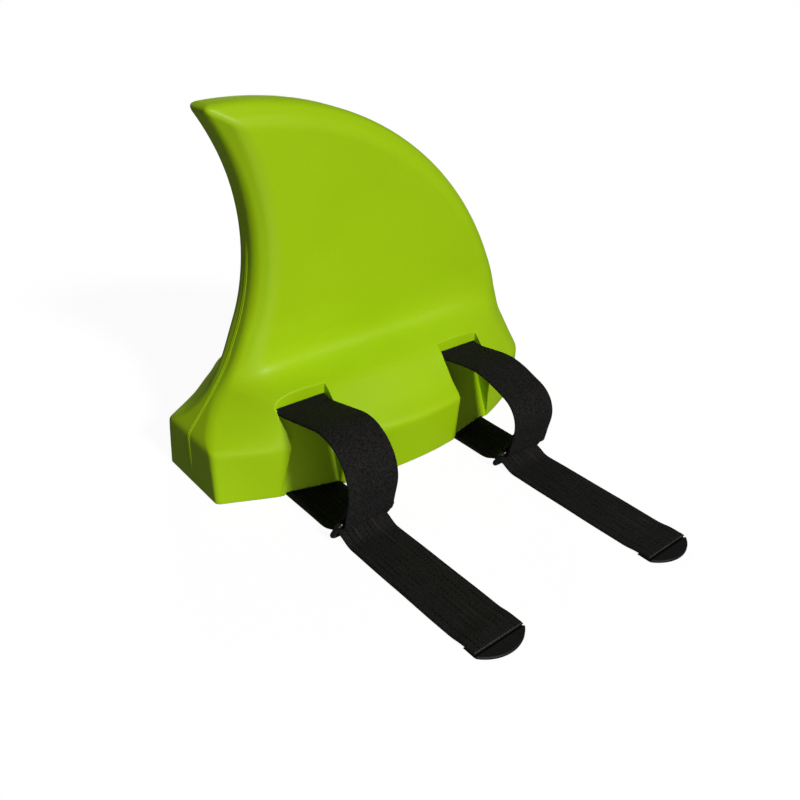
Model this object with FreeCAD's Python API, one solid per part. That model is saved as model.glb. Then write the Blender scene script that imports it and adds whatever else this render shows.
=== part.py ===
import FreeCAD, Part
import os
import math

# A foam swim float shaped like a fin, worn on the back, with two elastic straps.
# Millimetres. +X is the way the wearer swims, +Z is up out of the base, the far side is +Y.
# The origin is the middle of the base's flat underside.

os.makedirs("parts", exist_ok=True)
V = FreeCAD.Vector

# ---------------------------------------------------------------- driving dimensions
HALF_LENGTH = 148.0        # base, nose to tail
CREASE_Z = 41.0            # height of the base's upright side
FLANK = 19.0               # half the fin's thickness
FACET = 7.5                # half the flat band that runs along the fin's edge
BEVEL = 11.0               # how far the wide bevel reaches in from the edge

LEAD_X, LEAD_Z, LEAD_R = -96.5, 12.0, 247.0        # circle of the fin's leading edge
TRAIL_X, TRAIL_Z, TRAIL_R = -246.4, 165.6, 152.0   # circle of its hollow trailing edge

STRAP_W = 40.0
STRAP_T = 2.0
SLOT_W = 41.0
SLOT_LOW, SLOT_HIGH = 58.6, 64.8
NEAR_FACE, FAR_FACE = 42.5, 37.5       # a slot opens on upright faces this far each side of the middle
MOUTH = 2.5                # the recess below a slot is this much wider at the foot, each side
UNDER = 2.2                # depth of the strap channels under the base

BAR_R = 1.8                # round bar of a ring
RING_W = 45.6              # between the centres of its short sides
RING_H = 15.2              # between the centres of its long bars
LOOP_R = 3.2               # middle of the webbing where it wraps the top bar
LEAN = math.radians(10.0)  # lean of the webbing above the bar

# Name, middle of the strap along the base, ring's top bar, cut end of the elastic, then the free arch:
# how far up the straight run its outer bend would be, the radius of that bend, and any further bend.
STRAPS = [
    ("rear", -83.5, -119.0, -243.0, 49.5, 32.0, []),
    ("front", 64.0, -123.0, -254.0, 20.0, 22.0, [(-88.0, 68.8, 60.0)]),
]
BAR_Z = 15.5               # height of a ring's top bar
LEVEL = 63.6               # height of the webbing in its slot


def line(a, b):
    return Part.makeLine(a, b)


def spline(points):
    curve = Part.BSplineCurve()
    curve.interpolate(points)
    return curve.toShape()


def save(shape, name):
    if not shape.isValid():
        shape.fix(0.01, 0.01, 0.01)
    shape.exportStep("parts/" + name + ".step")
    print(name, "valid", shape.isValid(), "solids", len(shape.Solids), "volume", round(shape.Volume))


# ---------------------------------------------------------------- foam body
# Level sections of the base and flare: height, then on the near side the corner of the rear facet, the end
# of the rear bevel, four points of the side, the end of the front bevel and the corner of the front facet.
LEVELS = [
    (117.0, [(-102.4, 7.5), (-91.4, 19.0), (-63, 19.0), (-10, 19.0), (43, 19.0), (84.5, 19.0),
             (115.7, 19.0), (126.8, 7.5)]),
    (100.0, [(-108.9, 7.8), (-97.9, 19.0), (-63, 19.3), (-10, 19.7), (43, 20.2), (84.5, 20.3),
             (122.5, 19.4), (134.2, 8.0)]),
    (90.0, [(-113.2, 8.2), (-102.0, 19.4), (-63, 20.6), (-10, 21.4), (43, 22.2), (84.5, 22.8),
            (124.3, 20.0), (137.4, 8.2)]),
    (84.0, [(-116.3, 8.4), (-105.0, 20.6), (-63, 23.8), (-10, 25.6), (43, 26.8), (84.5, 27.4),
            (125.5, 21.0), (139.7, 8.6)]),
    (72.0, [(-123.8, 9.0), (-112.0, 28.5), (-63, 45.2), (-10, 45.0), (43, 44.4), (84.5, 43.2),
            (128.0, 26.5), (143.0, 10.8)]),
    (60.0, [(-132.6, 11.5), (-119.0, 31.5), (-63, 56.4), (-10, 56.4), (43, 55.0), (84.5, 53.8),
            (131.0, 34.5), (145.7, 17.0)]),
    (49.0, [(-141.2, 19.5), (-129.0, 34.5), (-63, 64.6), (-10, 66.6), (43, 64.0), (84.5, 58.9),
            (134.0, 41.0), (147.2, 25.0)]),
    (41.0, [(-148.0, 31.0), (-134.0, 42.0), (-63, 69.6), (-10, 77.0), (43, 73.4), (84.5, 63.0),
            (135.0, 45.9), (148.0, 32.5)]),
]
FOOT = [(-148.0, 35.0), (-131.0, 43.6), (-63, 66.2), (-10, 72.8), (43, 69.8), (84.5, 60.7),
        (135.0, 42.2), (148.0, 35.5)]


def section(z, near):
    """Closed wire at height z from the points of one side."""
    def side(sign):
        p = [V(x, sign * y, z) for x, y in near]
        return [line(p[0], p[1]), spline(p[1:-1]), line(p[-2], p[-1])]
    left = side(-1)
    right = side(1)
    first, last = near[0], near[-1]
    front = line(V(last[0], -last[1], z), V(last[0], last[1], z))
    rear = line(V(first[0], first[1], z), V(first[0], -first[1], z))
    return Part.Wire(Part.sortEdges(left + [front] + right + [rear])[0])


def lofted(wires, ruled):
    solid = Part.makeLoft(wires, True, ruled)
    if solid.Volume < 0:
        solid.reverse()
    return solid


def fin_wire(inset, y, foot):
    """Side outline of the fin, moved in by inset, at distance y from the middle, down to height foot."""
    lead_r = LEAD_R - inset
    trail_r = TRAIL_R + inset
    gap = math.hypot(LEAD_X - TRAIL_X, LEAD_Z - TRAIL_Z)
    along = (trail_r ** 2 - lead_r ** 2 + gap ** 2) / (2 * gap)
    off = math.sqrt(trail_r ** 2 - along ** 2)
    ux, uz = (LEAD_X - TRAIL_X) / gap, (LEAD_Z - TRAIL_Z) / gap
    tip = V(TRAIL_X + ux * along - uz * off, y, TRAIL_Z + uz * along + ux * off)

    def on_lead(z):
        return V(LEAD_X + math.sqrt(lead_r ** 2 - (z - LEAD_Z) ** 2), y, z)

    def on_trail(z):
        return V(TRAIL_X + math.sqrt(trail_r ** 2 - (z - TRAIL_Z) ** 2), y, z)
    low_lead = on_lead(foot)
    low_trail = on_trail(foot)
    turn0 = math.atan2(tip.z - LEAD_Z, tip.x - LEAD_X)
    turn1 = math.atan2(foot - LEAD_Z, low_lead.x - LEAD_X)
    mid = (turn0 + turn1) / 2
    mid_lead = V(LEAD_X + lead_r * math.cos(mid), y, LEAD_Z + lead_r * math.sin(mid))
    mid_trail = on_trail((tip.z + foot) / 2)
    edges = [
        Part.Arc(low_trail, mid_trail, tip).toShape(),
        Part.Arc(tip, mid_lead, low_lead).toShape(),
        line(low_lead, low_trail),
    ]
    return Part.Wire(edges)


def fin():
    foot = 116.6
    outer_near = fin_wire(0.0, -FACET, foot)
    outer_far = fin_wire(0.0, FACET, foot)
    inner_near = fin_wire(BEVEL, -FLANK, foot)
    inner_far = fin_wire(BEVEL, FLANK, foot)
    middle = lofted([outer_near, outer_far], True)
    near = lofted([outer_near, inner_near], True)
    far = lofted([outer_far, inner_far], True)
    return middle.fuse([near, far])


def foot_at(x):
    """Half width of the underside at x."""
    pts = FOOT
    for (x0, y0), (x1, y1) in zip(pts[:-1], pts[1:]):
        if x0 <= x <= x1:
            u = x / HALF_LENGTH
            return 73.0 - 37.7 * u * u
    return pts[-1][1]


def recess(centre, sign):
    """Cutter for the recess below a slot: upright face above the slot, ramp below it, walls that open out."""
    face = NEAR_FACE if sign < 0 else FAR_FACE
    wires = []
    for end in (-1, 1):
        def wall(y, z):
            reach = SLOT_W / 2 + MOUTH * (SLOT_HIGH - z) / SLOT_HIGH
            return V(centre + end * reach, sign * y, z)
        foot = foot_at(centre + end * (SLOT_W / 2 + MOUTH)) - 2.5
        pts = [
            wall(face, 95.0),
            wall(face, SLOT_LOW - 2.0),
            wall(foot, 0.0),
            wall(foot, -5.0),
            wall(120.0, -5.0),
            wall(120.0, 95.0),
        ]
        wires.append(Part.makePolygon(pts + [pts[0]]))
    return lofted(wires, True)


def foam():
    flare = lofted([section(z, near) for z, near in reversed(LEVELS)], False)
    base = lofted([section(0.0, FOOT), section(CREASE_Z, LEVELS[-1][1])], True)
    body = base.fuse([flare, fin()])
    body = body.removeSplitter()
    for name, centre, *rest in STRAPS:
        body = body.cut(recess(centre, -1))
        body = body.cut(recess(centre, 1))
        slot = Part.makeBox(SLOT_W, 240, SLOT_HIGH - SLOT_LOW, V(centre - SLOT_W / 2, -120, SLOT_LOW))
        body = body.cut(slot)
        channel = Part.makeBox(SLOT_W, 240, UNDER + 5, V(centre - SLOT_W / 2, -120, -5))
        body = body.cut(channel)
    return body


# ---------------------------------------------------------------- webbing
def beside(corners, half):
    """Lines and arcs running alongside a rounded path at distance half, to its left.

    Each corner of the path is (y, z, radius of its bend)."""
    edges = []
    at = None
    for i in range(len(corners)):
        p = V(0, corners[i][0], corners[i][1])
        if i == 0 or i == len(corners) - 1:
            other = corners[1] if i == 0 else corners[-2]
            run = (V(0, other[0], other[1]) - p).normalize() * (1 if i == 0 else -1)
            q = p + V(0, -run.z, run.y) * half
            if at is not None:
                edges.append(line(at, q))
            at = q
            continue
        a = (V(0, corners[i - 1][0], corners[i - 1][1]) - p).normalize()
        b = (V(0, corners[i + 1][0], corners[i + 1][1]) - p).normalize()
        bend = corners[i][2]
        opening = a.getAngle(b) / 2
        hub = p + (a + b).normalize() * (bend / math.sin(opening))
        left = V(0, a.z, -a.y)
        radius = bend + half * (1 if left.dot(a + b) < 0 else -1)
        ends = [p + a * (bend / math.tan(opening)), p + b * (bend / math.tan(opening))]
        ends = [hub + (q - hub).normalize() * radius for q in ends]
        top = hub + (p - hub).normalize() * radius
        edges.append(line(at, ends[0]))
        edges.append(Part.Arc(ends[0], top, ends[1]).toShape())
        at = ends[1]
    return edges


def strip(centre, left, right):
    """Webbing between two rows of edges seen from the side, both running the same way."""
    def tips(row):
        if len(row) == 1:
            return row[0].valueAt(row[0].FirstParameter), row[0].valueAt(row[0].LastParameter)
        return far_tip(row[0], row[1]), far_tip(row[-1], row[-2])
    l0, l1 = tips(left)
    r0, r1 = tips(right)
    rim = left + [line(l1, r1)] + right + [line(r0, l0)]
    face = Part.Face(Part.Wire(Part.sortEdges(rim)[0]))
    face.translate(V(centre - STRAP_W / 2, 0, 0))
    solid = face.extrude(V(STRAP_W, 0, 0))
    if solid.Volume < 0:
        solid.reverse()
    return solid


def far_tip(edge, neighbour):
    """The end of the edge that doesn't touch its neighbour."""
    points = [v.Point for v in edge.Vertexes]
    shared = [v.Point for v in neighbour.Vertexes]
    return max(points, key=lambda p: min((p - q).Length for q in shared))


def loop_frame(bar_y):
    """Bar centre, direction down the webbing above it and the outward normal there."""
    bar = V(0, bar_y, BAR_Z)
    down = V(0, math.sin(LEAN), -math.cos(LEAN))
    out = V(0, -math.cos(LEAN), -math.sin(LEAN))
    return bar, down, out


def slab(centre, a, b, half):
    """Straight piece of webbing between two points of its middle line."""
    run = (b - a).normalize()
    side = V(0, -run.z, run.y) * half
    face = Part.Face(Part.makePolygon([a + side, b + side, b - side, a - side, a + side]))
    face.translate(V(centre - STRAP_W / 2, 0, 0))
    solid = face.extrude(V(STRAP_W, 0, 0))
    if solid.Volume < 0:
        solid.reverse()
    return solid


def band_strip(centre, bar_y, rise, bend, further):
    """The webbing from the top of its sewn loop to the bend where the tail lifts."""
    bar, down, out = loop_frame(bar_y)
    start = bar + out * LOOP_R - down * 18.0
    outer = start - down * rise
    # the far ramp's foot, on the side where the base is wider
    foot = max(foot_at(centre - STRAP_W / 2), foot_at(centre + STRAP_W / 2)) - 2.5
    run = [(start.y, start.z, 0), (outer.y, outer.z, bend)] + further
    # through the slot, down the far ramp, under the base, over the lower bar and down to the bend
    run += [(-52.0, LEVEL, 20.0), (FAR_FACE + 3.6, LEVEL, 4.0), (foot + 1.9, 1.1, 1.6), (bar_y + 19.0, 1.1, 20.0),
            (bar_y + 6.0, 7.7, 14.0), (bar_y - 7.5, 1.1, 14.0), (bar_y - 11.0, 1.1, 0)]
    return strip(centre, beside(run, STRAP_T / 2), beside(run, -STRAP_T / 2))


def band(centre, bar_y, rise, bend, further):
    bar, down, out = loop_frame(bar_y)
    half = STRAP_T / 2
    meet = bar + out * LOOP_R
    pieces = [slab(centre, meet - down * 18.05, meet + down * 0.05, half)]
    # the wrap round the bar
    x0 = centre - STRAP_W / 2
    sleeve = Part.makeCylinder(LOOP_R + half, STRAP_W, V(x0, bar.y, bar.z), V(1, 0, 0))
    bore = Part.makeCylinder(LOOP_R - half, STRAP_W + 2, V(x0 - 1, bar.y, bar.z), V(1, 0, 0))
    above = Part.makeBox(STRAP_W + 2, 20, 20, V(x0 - 1, bar.y - 10, bar.z))
    above.rotate(V(0, bar.y, bar.z), V(1, 0, 0), math.degrees(LEAN))
    pieces.append(sleeve.cut(bore).cut(above))
    # the turned-up end, sewn flat against the inner face
    inner = bar - out * LOOP_R
    seam = meet - down * 9.5 - out * (STRAP_T - 0.1)
    end = meet - down * 17.0 - out * (STRAP_T - 0.1)
    pieces.append(slab(centre, inner + (inner - seam).normalize() * 0.4, seam, half))
    pieces.append(slab(centre, seam + down * 0.3, end, half))
    webbing = band_strip(centre, bar_y, rise, bend, further)
    return webbing.fuse(pieces).removeSplitter()


def tail(centre, bar_y, end_y):
    start = bar_y - 11.0 - 0.3
    run = [(start, 1.1, 0), (end_y + 19.0, 1.1, 20.0), (end_y + 11.0, 2.35, 20.0), (end_y, 2.35, 0)]
    return strip(centre, beside(run, STRAP_T / 2), beside(run, -STRAP_T / 2))


def hook_tab(centre, end_y):
    """Flat tab under the end of the elastic, running on as a half round."""
    half = STRAP_W / 2
    near = end_y + 9.0
    arc = Part.Arc(V(centre - half, end_y - 1.5, 0.1), V(centre, end_y - 10.5, 0.1),
                   V(centre + half, end_y - 1.5, 0.1)).toShape()
    rim = [line(V(centre - half, near, 0.1), V(centre - half, end_y - 1.5, 0.1)), arc,
           line(V(centre + half, end_y - 1.5, 0.1), V(centre + half, near, 0.1)),
           line(V(centre + half, near, 0.1), V(centre - half, near, 0.1))]
    sheet = Part.Face(Part.Wire(rim)).extrude(V(0, 0, 1.25))
    lip = Part.Arc(V(centre - half, end_y - 1.5, 1.3), V(centre, end_y - 10.5, 1.3),
                   V(centre + half, end_y - 1.5, 1.3)).toShape()
    front = end_y - 0.4
    top = [line(V(centre - half, front, 1.3), V(centre - half, end_y - 1.5, 1.3)), lip,
           line(V(centre + half, end_y - 1.5, 1.3), V(centre + half, front, 1.3)),
           line(V(centre + half, front, 1.3), V(centre - half, front, 1.3))]
    raised = Part.Face(Part.Wire(top)).extrude(V(0, 0, 1.3))
    return sheet.fuse(raised).removeSplitter()


# ---------------------------------------------------------------- ring
def ring(centre, bar_y):
    """Rectangular ring of round bar, leaning on its lower bar."""
    drop = BAR_Z - BAR_R - 0.35
    back = math.sqrt(RING_H ** 2 - drop ** 2)
    top = V(0, bar_y, BAR_Z)
    foot = V(0, bar_y + back, BAR_Z - drop)
    up = (top - foot).normalize()
    mid = (top + foot) * 0.5
    hw, hh, r = RING_W / 2, RING_H / 2, 3.2

    def at(x, h):
        return V(centre + x, 0, 0) + mid + up * h

    def bend(x, h, sx, sh):
        c = r * (1 - math.sqrt(0.5))
        return Part.Arc(at(x - sx * r, h), at(x - sx * c, h - sh * c), at(x, h - sh * r)).toShape()
    edges = [
        line(at(-hw + r, hh), at(hw - r, hh)),
        bend(hw, hh, 1, 1),
        line(at(hw, hh - r), at(hw, -hh + r)),
        bend(hw, -hh, 1, -1),
        line(at(hw - r, -hh), at(-hw + r, -hh)),
        bend(-hw, -hh, -1, -1),
        line(at(-hw, -hh + r), at(-hw, hh - r)),
        bend(-hw, hh, -1, 1),
    ]
    path = Part.Wire(Part.sortEdges(edges)[0])
    start = path.OrderedEdges[0]
    p0 = start.valueAt(start.FirstParameter)
    t0 = start.tangentAt(start.FirstParameter)
    profile = Part.Wire(Part.makeCircle(BAR_R, p0, t0))
    solid = path.makePipeShell([profile], True, True)
    if solid.Volume < 0:
        solid.reverse()
    return solid


# ---------------------------------------------------------------- thread
def stitches(centre, spot, run, normal, count, length):
    """A row of stitches across the webbing at spot, lying on the face that normal points out of."""
    out = []
    pitch = (STRAP_W - 5.0) / count
    for i in range(count):
        x = centre - STRAP_W / 2 + 2.5 + pitch * (i + 0.5)
        box = Part.makeBox(length, 0.6, 0.35, V(-length / 2, -0.3, 0.0))
        turn = FreeCAD.Rotation(V(1, 0, 0), run, normal, "XYZ")
        box.Placement = FreeCAD.Placement(V(x, spot.y, spot.z), turn)
        out.append(box)
    return out


def loop_stitching(centre, bar_y):
    bar, down, out = loop_frame(bar_y)
    meet = bar + out * LOOP_R
    rows = []
    for up in (10.5, 13.0):
        spot = meet - down * up + out * (STRAP_T / 2)
        rows += stitches(centre, spot, down * -1, out, 12, 2.2)
    return Part.makeCompound(rows)


def tab_stitching(centre, end_y):
    rows = []
    for back in (1.6, 7.0):
        rows += stitches(centre, V(0, end_y + back, 3.35), V(0, 1, 0), V(0, 0, 1), 14, 1.9)
    return Part.makeCompound(rows)


body = foam()
save(body, "fin_float")
for name, centre, bar_y, end_y, rise, bend, further in STRAPS:
    save(band(centre, bar_y, rise, bend, further), name + "_strap_band")
    save(tail(centre, bar_y, end_y), name + "_strap_tail")
    save(ring(centre, bar_y), name + "_ring")
    save(hook_tab(centre, end_y), name + "_hook_tab")
    save(loop_stitching(centre, bar_y), name + "_loop_stitching")
    save(tab_stitching(centre, end_y), name + "_tab_stitching")
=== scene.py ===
"""A fin-shaped foam swim float with two elastic straps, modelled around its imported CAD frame."""

import math

import bpy
import numpy as np
import openvdb
from mathutils import Matrix, Vector


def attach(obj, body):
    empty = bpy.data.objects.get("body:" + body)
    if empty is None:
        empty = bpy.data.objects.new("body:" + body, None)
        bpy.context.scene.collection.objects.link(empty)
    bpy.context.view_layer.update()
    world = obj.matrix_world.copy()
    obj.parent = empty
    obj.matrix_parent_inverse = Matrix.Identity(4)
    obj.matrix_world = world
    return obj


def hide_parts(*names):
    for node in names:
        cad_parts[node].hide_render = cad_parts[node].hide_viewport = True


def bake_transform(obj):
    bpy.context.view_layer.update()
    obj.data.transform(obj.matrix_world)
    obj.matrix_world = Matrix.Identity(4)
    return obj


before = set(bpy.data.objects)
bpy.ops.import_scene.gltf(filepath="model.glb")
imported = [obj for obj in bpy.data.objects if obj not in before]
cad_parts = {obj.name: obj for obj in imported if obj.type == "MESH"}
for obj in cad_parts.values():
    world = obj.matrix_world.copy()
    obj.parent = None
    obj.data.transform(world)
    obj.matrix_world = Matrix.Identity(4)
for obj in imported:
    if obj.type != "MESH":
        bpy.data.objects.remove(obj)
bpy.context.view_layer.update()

MM = 0.001                   # the shapes below are worked out in millimetres

# ------------------------------------------------------------ dimensions, the same as the CAD model's
HALF_LENGTH = 148.0          # half the base from nose to tail
FLANK = 19.0                 # half the fin's thickness
FACET = 9.5                  # half the flat band along the fin's edge
BEVEL = 11.0                 # how far the bevel reaches in from that edge
LEAD = (-96.5, 12.0, 247.0)          # circle of the leading edge: x, z, radius
TRAIL = (-246.4, 165.6, 152.0)       # circle of the hollow trailing edge
SLOT_LOW = 58.6              # a strap slot's lowest and highest points
SLOT_HIGH = 64.8
NEAR_FACE = 42.5             # how far from the middle the slots open on the near side
FAR_FACE = 37.5              # and on the far side
RAMP_TOP = 56.6              # below this the recess slopes outwards
CHANNEL = 2.2                # depth of the strap channels under the base

STRAP_W = 40.0
STRAP_T = 2.0
BAR_R = 1.8                  # round bar of a ring
BAR_Z = 15.5                 # height of its top bar
RING_W = 45.6
RING_H = 15.2
LOOP_R = 3.2                 # middle of the webbing where it wraps the top bar
LEAN = math.radians(10.0)    # lean of the webbing above the bar
LEVEL = 63.6                 # height of the webbing in its slot

# ------------------------------------------------------------ softer shape that only the visual foam has
TIP = (-125.4, 257.3)        # where the fin's two edges would meet: x, z
TIP_WAY = (-0.894, 0.447)    # direction in which the fin points there
TIP_CUT = 4.0                # how far back from there the fin ends
TIP_ROUND = 2.4
EDGE_ROUND = 2.6             # rounding of the fin's and flare's edges
BEVEL_ROUND = 4.5            # rounding where the bevels meet the flare's sides
RECESS_ROUND = 0.6
FAR_LEAN = 0.15              # how much leaner the far side of the flare is at the back
CREASE_SOFT = 2.2            # how far the crease is rounded each way
HEIGHT_STEP = 0.25
VOXEL = 1.5

# each strap: middle along the base, ring's top bar, cut end, then how far up its straight run the
# outer bend of the free arch lies, the radius of that bend, and further bends of the arch
STRAPS = {
    "rear": (-83.5, -119.0, -243.0, 49.5, 32.0, []),
    "front": (64.0, -123.0, -254.0, 20.0, 22.0, [(-88.0, 68.8, 60.0)]),
}

# sections of the base and flare, with more points than the CAD model's: height, then the half width
# at each of SIDE_X
SIDE_X = (-134.0, -101.5, -63.0, -10.0, 43.0, 84.5, 133.0)
SIDE = [
    (0.0, 42.1, 55.3, 66.2, 72.8, 69.8, 60.7, 42.6),
    (41.0, 42.0, 58.0, 69.6, 77.0, 73.4, 63.0, 46.3),
    (49.0, 28.0, 56.8, 64.6, 66.6, 64.0, 58.9, 41.5),
    (60.0, 13.0, 51.0, 56.4, 56.4, 55.0, 53.8, 34.0),
    (72.0, -3.0, 42.0, 45.4, 45.4, 44.8, 43.6, 23.0),
    (78.0, -1.0, 27.5, 31.5, 34.4, 35.6, 35.8, 20.0),
    (84.0, 4.0, 20.6, 22.2, 23.8, 25.6, 27.2, 19.2),
    (90.0, 8.0, 19.3, 19.9, 20.4, 21.2, 22.6, 18.8),
    (100.0, 14.0, 18.8, 19.1, 19.3, 19.6, 20.0, 18.8),
]
# and the corners of its ends: height, then x and half width of the rear facet's corner, the end of
# the rear bevel, the end of the front bevel and the front facet's corner
ENDS = [
    (0.0, -148, 35.0, -131, 43.6, 135, 42.2, 148, 35.5),
    (41.0, -148, 31.0, -134, 42.0, 135, 45.9, 148, 32.5),
    (49.0, -141.2, 19.5, -129, 34.5, 134, 41.0, 147.2, 25.0),
    (60.0, -132.6, 11.5, -119, 31.5, 131, 34.5, 145.7, 17.0),
    (72.0, -123.8, 9.0, -112, 28.0, 128, 26.0, 143, 10.8),
    (78.0, -119.8, 9.0, -108.5, 22.5, 126.8, 23.2, 141.3, 10.2),
    (84.0, -116.3, 9.2, -105.0, 20.0, 125.5, 21.0, 139.7, 9.6),
    (90.0, -113.2, 9.3, -102.0, 19.6, 124.3, 20.0, 137.4, 9.5),
    (100.0, -108.9, 9.4, -97.9, 19.2, 122.5, 19.2, 134.2, 9.5),
]
# walls of the recesses: heights, then x of the rear wall and of the front wall at them
RECESSES = {
    "rear": ((0.0, 41.0, 60.0), (-107.2, -100.4, -102.9), (-65.1, -63.3, -62.7)),
    "front": ((0.0, 41.0, 60.0), (44.4, 43.5, 43.7), (90.3, 86.4, 84.6)),
}
FIN_FOOT = 117.0             # above this the fin's own circles and bevels give the section


# ------------------------------------------------------------ small helpers
def meet(a, b, radius):
    """Where two solids overlap, from their distances, with the edge between them rounded."""
    round_off = np.hypot(np.maximum(a + radius, 0), np.maximum(b + radius, 0))
    return np.minimum(np.maximum(a, b), -radius) + round_off


def ease(t):
    t = np.clip(t, 0, 1)
    return t * t * (3 - 2 * t)


def edge_x(circle, z):
    """x of an edge circle's right-hand side at height z."""
    cx, cz, radius = circle
    return cx + math.sqrt(radius ** 2 - (z - cz) ** 2)


def new_mesh(name, points, faces, body, materials):
    """A smooth mesh object from points in millimetres, riding on a body if one is given."""
    mesh = bpy.data.meshes.new(name)
    mesh.from_pydata([tuple(p) for p in np.asarray(points) * MM], [], [tuple(f) for f in faces])
    mesh.validate()
    mesh.polygons.foreach_set("use_smooth", [True] * len(mesh.polygons))
    for material in materials:
        mesh.materials.append(material)
    piece = bpy.data.objects.new(name, mesh)
    bpy.context.scene.collection.objects.link(piece)
    if body:
        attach(piece, body)
    return piece


# ------------------------------------------------------------ materials
def node_maker(material):
    """Returns (add a node with values on its sockets, link two sockets) for a material."""
    tree = material.node_tree

    def add(kind, settings=None, **values):
        node = tree.nodes.new("ShaderNode" + kind)
        for key, value in (settings or {}).items():
            setattr(node, key, value)
        for key, value in values.items():
            node.inputs[key.replace("_", " ")].default_value = value
        return node

    return add, tree.links.new


def calculator(add, link):
    """Returns a function that adds a math node fed by sockets or numbers and gives its result."""
    def calculate(operation, *inputs):
        node = add("Math", {"operation": operation})
        for index, value in enumerate(inputs):
            if isinstance(value, (int, float)):
                node.inputs[index].default_value = value
            else:
                link(value, node.inputs[index])
        return node.outputs[0]

    return calculate


def new_material(name, roughness, specular):
    material = bpy.data.materials.new(name)
    material.use_nodes = True
    shader = material.node_tree.nodes["Principled BSDF"]
    shader.inputs["Roughness"].default_value = roughness
    shader.inputs["Specular IOR Level"].default_value = specular
    return material, shader


def two_tone(add, low, low_color, high, high_color):
    """Ramp from one colour to another between two values."""
    ramp = add("ValToRGB")
    ramp.color_ramp.elements[0].position = low
    ramp.color_ramp.elements[0].color = (*low_color, 1)
    ramp.color_ramp.elements[1].position = high
    ramp.color_ramp.elements[1].color = (*high_color, 1)
    return ramp


def foam_material():
    material, shader = new_material("foam_skin", 0.45, 0.3)
    add, link = node_maker(material)
    place = add("TexCoord").outputs["Object"]

    # broad mottling of the skin
    cloud = add("TexNoise", Scale=14.0, Detail=3.0, Roughness=0.55)
    link(place, cloud.inputs["Vector"])
    tint = two_tone(add, 0.3, (0.402, 0.662, 0.0016), 0.7, (0.432, 0.698, 0.0034))
    link(cloud.outputs["Fac"], tint.inputs["Fac"])

    # scattered darker pores
    pores = add("TexVoronoi", Scale=420.0, Randomness=1.0)
    link(place, pores.inputs["Vector"])
    pore = add("MapRange", From_Min=0.05, From_Max=0.22, To_Min=0.9, To_Max=1.0)
    link(pores.outputs["Distance"], pore.inputs["Value"])
    shade = add("Mix", {"data_type": "RGBA", "blend_type": "MULTIPLY"}, Factor=1.0)
    link(tint.outputs["Color"], shade.inputs[6])
    link(pore.outputs["Result"], shade.inputs[7])
    link(shade.outputs[2], shader.inputs["Base Color"])

    # fine closed-cell grain
    grain = add("TexNoise", Scale=1500.0, Detail=2.0, Roughness=0.6)
    link(place, grain.inputs["Vector"])
    bump = add("Bump", Strength=0.22, Distance=0.0003)
    link(grain.outputs["Fac"], bump.inputs["Height"])
    link(bump.outputs["Normal"], shader.inputs["Normal"])
    return material


def loop_face_material():
    """Brushed loop face of the elastic: a fine fuzz with paler tufts standing out of it."""
    material, shader = new_material("webbing_loop_face", 0.9, 0.12)
    add, link = node_maker(material)
    place = add("TexCoord").outputs["Object"]
    fluff = add("TexNoise", Scale=620.0, Detail=5.0, Roughness=0.75)
    link(place, fluff.inputs["Vector"])
    tint = two_tone(add, 0.36, (0.0035, 0.0033, 0.0032), 0.7, (0.027, 0.0255, 0.0245))
    link(fluff.outputs["Fac"], tint.inputs["Fac"])
    link(tint.outputs["Color"], shader.inputs["Base Color"])
    bump = add("Bump", Strength=0.8, Distance=0.0007)
    link(fluff.outputs["Fac"], bump.inputs["Height"])
    link(bump.outputs["Normal"], shader.inputs["Normal"])
    return material


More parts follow.
